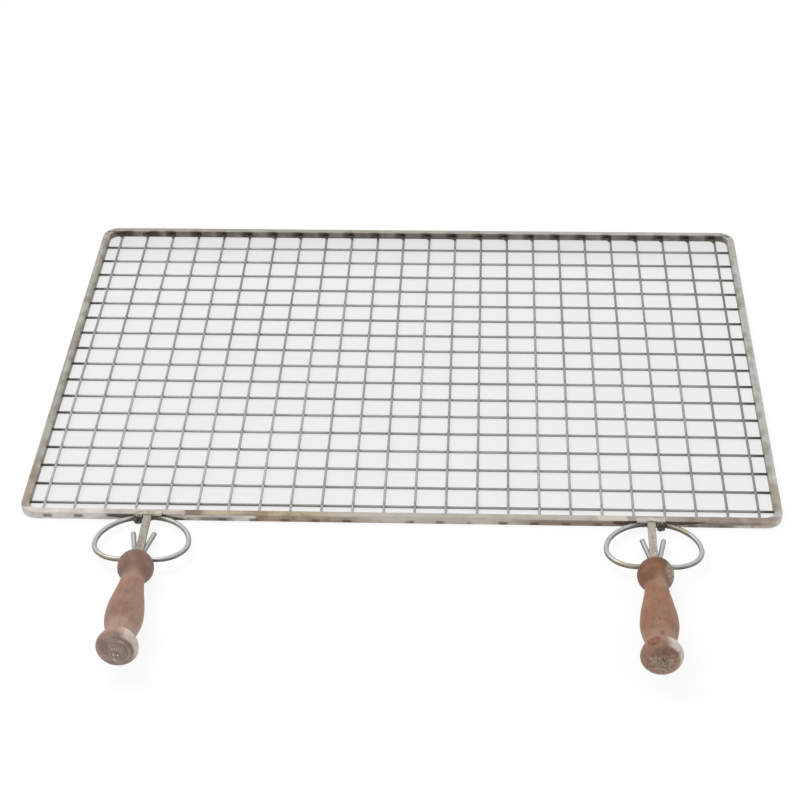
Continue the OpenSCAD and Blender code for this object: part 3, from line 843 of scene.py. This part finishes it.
def grips():
    angles = [2 * math.pi * j / GRIP_SIDES for j in range(GRIP_SIDES)]
    profile = grip_profile()
    for name, side in SIDES.items():
        dents = grip_dents(side)
        verts, faces = [], []
        for depth in (MORTISE_DEEP, 0.0):
            for angle in angles:
                c, t = math.cos(angle), math.sin(angle)
                reach = 1 / max(abs(c) / MORTISE_HALF_X, abs(t) / MORTISE_HALF_Y)
                verts.append((c * reach, t * reach, depth))
        for r, z in profile:
            for angle in angles:
                c, t = math.cos(angle), math.sin(angle)
                where = Vector((c * r, t * r, z))
                out = wood_out(where, r, z, angle, side, dents) if z > 0 else 0.0
                down = end_down(where, c * r, t * r, r, angle, side) if z > KNOB_AT else 0.0
                verts.append((c * (r + out), t * (r + out), z - max(-0.0002, down)))
        rows = len(profile) + 2
        for i in range(rows - 1):
            for j in range(GRIP_SIDES):
                a, b = i * GRIP_SIDES + j, i * GRIP_SIDES + (j + 1) % GRIP_SIDES
                faces.append((a, a + GRIP_SIDES, b + GRIP_SIDES, b))
        faces.append(tuple(range(GRIP_SIDES)))
        faces.append(tuple((rows - 1) * GRIP_SIDES + j for j in reversed(range(GRIP_SIDES))))
        outwards = Matrix.Translation((0, -GRIP_START, AXIS_UP)) @ Matrix.Rotation(math.pi / 2, 4, "X")
        grip = new_piece(f"{name}_turned_grip", verts, faces, wood[name], f"{name}_handle",
                         on_handle(side) @ outwards, [f"{name}_grip"])
        smooth(grip, math.radians(50))


def lump(verts, faces, centre, radii, turn, roughness, seed):
    """Adds an uneven ball of weld metal."""
    made = bmesh.new()
    bmesh.ops.create_icosphere(made, subdivisions=2, radius=1.0)
    first = len(verts)
    for v in made.verts:
        n = v.co.normalized()
        swollen = 1 + roughness * noise.noise(n * 1.7 + Vector((seed * 3.1, seed * 1.7, 0)))
        where = turn @ Vector((n.x * radii[0], n.y * radii[1], n.z * radii[2])) * swollen
        verts.append(centre + where)
    faces += [tuple(first + v.index for v in f.verts) for f in made.faces]
    made.free()


def wire_welds():
    """Each wire's weld to the frame, on one side of it along the wall. The back row's are the fullest."""
    front_back_z = CROSSING_Z + WIRE_R
    cross_z = front_back_z - 2 * WIRE_R + SIDE_WELD_UP
    rows = {
        "back_welds": ([(x, BACK_IN, front_back_z) for x in WIRE_X], 0),
        "front_welds": ([(x, FRONT_IN, front_back_z) for x in WIRE_X], math.pi),
        "left_welds": ([(-INNER_X, y, cross_z) for y in WIRE_Y], math.pi / 2),
        "right_welds": ([(INNER_X, y, cross_z) for y in WIRE_Y], -math.pi / 2),
    }
    for node, (places, angle) in rows.items():
        turn = Matrix.Rotation(angle, 3, "Z")
        fillet = FULL_FILLET if node == "back_welds" else SLIGHT_FILLET
        draw = random.Random(len(node) * 31 + len(places))
        verts, faces = [], []
        for k, place in enumerate(places):
            size = draw.uniform(0.8, 1.15)
            for step, (along, out, r) in enumerate(fillet):
                off = Vector((-along * size, -out * size, draw.uniform(-0.0012, -0.0006)))
                centre = Vector(place) + turn @ off
                radii = (r * 1.3 * size, r * size, r * 0.95 * size)
                lump(verts, faces, centre, radii, turn, 0.28, k * 3 + step + len(node))
        new_piece(f"{node}_beads", verts, faces, weld_steel, "grate", None, [node])


def crossing_welds():
    """Where the wires cross they are sunk into each other, with a little squeezed metal round the joint."""
    verts, faces = [], []
    draw = random.Random(41)
    flat = Matrix.Rotation(math.pi / 4, 3, "Z")
    for x in WIRE_X:
        for y in WIRE_Y:
            size = draw.uniform(0.9, 1.1)
            radii = (CROSSING_R * size, CROSSING_R * size, CROSSING_H)
            lump(verts, faces, Vector((x, y, CROSSING_Z)), radii, flat, 0.12, x * 90 + y * 41)
    new_piece("crossing_welds", verts, faces, front_back_steel, "grate")


def ring_welds():
    """The beads between the rings' rear wire and the front rail, fullest in the middle."""
    level = Matrix.Rotation(0, 3, "Z")
    for name, side in SIDES.items():
        verts, faces = [], []
        draw = random.Random(side + 20)
        for k in range(RING_WELD_LUMPS):
            share = k / (RING_WELD_LUMPS - 1)
            x = side * RING_X + (share - 0.5) * RING_WELD_LEN
            r = RING_WELD_R * (0.75 + 0.35 * math.sin(math.pi * share)) * draw.uniform(0.9, 1.12)
            centre = Vector((x, FRONT_Y - 0.0006, ROOT_Z - RING_WIRE_R + draw.uniform(-0.0002, 0.0003)))
            lump(verts, faces, centre, (r * 1.1, r, r), level, 0.2, k + side)
        new_piece(f"{name}_ring_weld_beads", verts, faces, weld_steel, "grate", None,
                  [f"{name}_ring_weld"])


def hook_plates():
    """The forged hook plates: the CAD solid, with worn edges, hammer marks and a lumpy burnt curl."""
    for name, side in SIDES.items():
        node = f"{name}_hook_plate"
        curl_x = side * CURL_X
        source = nodes[node]
        plate = bpy.data.objects.new(f"{node}_forged", source.data.copy())
        bpy.context.scene.collection.objects.link(plate)
        remesh = plate.modifiers.new("fine", "REMESH")
        remesh.mode = "VOXEL"
        remesh.voxel_size = PLATE_VOXEL
        remesh.adaptivity = 0.0
        mesh = bpy.data.meshes.new_from_object(plate.evaluated_get(bpy.context.evaluated_depsgraph_get()))
        plate.modifiers.clear()
        plate.data = mesh
        work = bmesh.new()
        work.from_mesh(mesh)
        for _ in range(3):
            bmesh.ops.smooth_vert(work, verts=work.verts, factor=0.5, use_axis_x=True, use_axis_y=True,
                                  use_axis_z=True)
        work.normal_update()
        for v in work.verts:
            curl = min(1.0, max(0.0, (FRONT_Y - ROOT_OUT - 0.0020 - v.co.y) / 0.0008))
            if abs(v.co.x - curl_x) < CURL_HALF_W:
                low = min(1.0, max(0.0, (CURL_TOP - v.co.z) / CURL_DROP))
                v.co.x = curl_x + (v.co.x - curl_x) * math.sqrt(1 - (CURL_NARROW * low) ** 2)
            rough = 0.00016 * noise.noise(v.co * 420) + 0.00008 * noise.noise(v.co * 1100)
            rough += curl * (0.0004 * noise.noise(v.co * 520 + Vector((3, 0, 0))) + 0.00005)
            v.co += v.normal * rough
        work.to_mesh(mesh)
        work.free()
        dress(plate, plate_steel[name])
        mesh.shade_smooth()
        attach(plate, f"{name}_handle")
        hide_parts(node)


rings()
grips()
wire_welds()
crossing_welds()
ring_welds()
hook_plates()


# ---- Floor, light and camera

def floor_material():
    """The camera and the steel see the floor as white, with painted shade making it a little grey under the
    mesh, and with faint cast shadows.
    """
    s = Shader("floor", roughness=0.9)
    s.bsdf.inputs["Base Color"].default_value = (0.93, 0.93, 0.93, 1)
    s.bsdf.inputs["Specular IOR Level"].default_value = 0.0
    rays = s.tree.nodes.new("ShaderNodeLightPath")
    seen = s.math("MAXIMUM", rays.outputs["Is Camera Ray"], rays.outputs["Is Glossy Ray"])
    white = s.tree.nodes.new("ShaderNodeEmission")
    middle = (FRONT_Y + BACK_Y) / 2
    off_x = s.math("ABSOLUTE", s.x)
    off_y = s.math("ABSOLUTE", s.math("SUBTRACT", s.y, middle))
    under = s.both(s.step(off_x, HALF_W - 0.001, INNER_X + 0.001),
                   s.step(off_y, BACK_Y - middle - 0.001, BACK_Y - middle - BAR + 0.001))
    # Painted shade: the floor's seen strength drops inside the frame's outline, more towards the back rail
    shade = s.span(s.step(s.y, BACK_Y - 0.075, BACK_Y - 0.012), MESH_SHADE, BACK_SHADE)
    s.put(white.inputs["Strength"], s.span(under, FLOOR_WHITE, shade))
    made = s.tree.nodes.new("ShaderNodeMixShader")
    s.put(made.inputs[0], s.share(seen, FLOOR_GLOW))
    s.put(made.inputs[1], s.bsdf.outputs[0])
    s.put(made.inputs[2], white.outputs[0])
    s.put(s.tree.nodes["Material Output"].inputs["Surface"], made.outputs[0])
    return s.material


def lay_floor():
    mesh = bpy.data.meshes.new("floor")
    corners = ((-1, -1), (1, -1), (1, 1), (-1, 1))
    mesh.from_pydata([(FLOOR_HALF * x, FLOOR_HALF * y, FLOOR_Z) for x, y in corners], [], [(0, 1, 2, 3)])
    floor = bpy.data.objects.new("floor", mesh)
    bpy.context.scene.collection.objects.link(floor)
    mesh.materials.append(floor_material())


def light_world():
    """An even sky, brighter overhead, that the camera sees as white."""
    world = bpy.data.worlds.new("studio")
    world.use_nodes = True
    tree = world.node_tree
    tree.nodes.clear()
    path = tree.nodes.new("ShaderNodeLightPath")
    where = tree.nodes.new("ShaderNodeTexCoord")
    split = tree.nodes.new("ShaderNodeSeparateXYZ")
    height = tree.nodes.new("ShaderNodeMapRange")
    height.inputs["From Min"].default_value = -0.1
    height.inputs["From Max"].default_value = 0.9
    height.inputs["To Min"].default_value = SKY_LOW
    height.inputs["To Max"].default_value = SKY_HIGH
    light = tree.nodes.new("ShaderNodeBackground")
    light.inputs["Color"].default_value = (1, 1, 1, 1)
    out = tree.nodes.new("ShaderNodeOutputWorld")
    tree.links.new(where.outputs["Generated"], split.inputs[0])
    tree.links.new(split.outputs[2], height.inputs["Value"])
    level = height.outputs[0]
    for ray, strength in SEEN_STRENGTH:
        seen = tree.nodes.new("ShaderNodeMix")
        tree.links.new(path.outputs[ray], seen.inputs[0])
        tree.links.new(level, seen.inputs[2])
        seen.inputs[3].default_value = strength
        level = seen.outputs[0]
    tree.links.new(level, light.inputs["Strength"])
    tree.links.new(light.outputs[0], out.inputs["Surface"])
    bpy.context.scene.world = world


def area_light(name, place, target, size, power):
    data = bpy.data.lights.new(name, "AREA")
    data.shape = "DISK"
    data.size = size
    data.energy = power
    obj = bpy.data.objects.new(name, data)
    obj.location = place
    obj.rotation_euler = (Vector(target) - Vector(place)).to_track_quat("-Z", "Y").to_euler()
    bpy.context.scene.collection.objects.link(obj)


lay_floor()
light_world()
area_light("key", KEY_PLACE, KEY_TARGET, KEY_SIZE, KEY_POWER)

camera_data = bpy.data.cameras.new("camera")
camera_data.sensor_width = 36
camera_data.lens = LENS
camera_data.clip_start = 0.05
camera_data.clip_end = 60
camera = bpy.data.objects.new("camera", camera_data)
camera.location = FIRST_CROSS + Vector(CAMERA_PLACE)
camera.rotation_euler = Euler([math.radians(angle) for angle in CAMERA_TURN])
bpy.context.scene.collection.objects.link(camera)
bpy.context.scene.camera = camera
bpy.context.scene.view_settings.view_transform = "Standard"
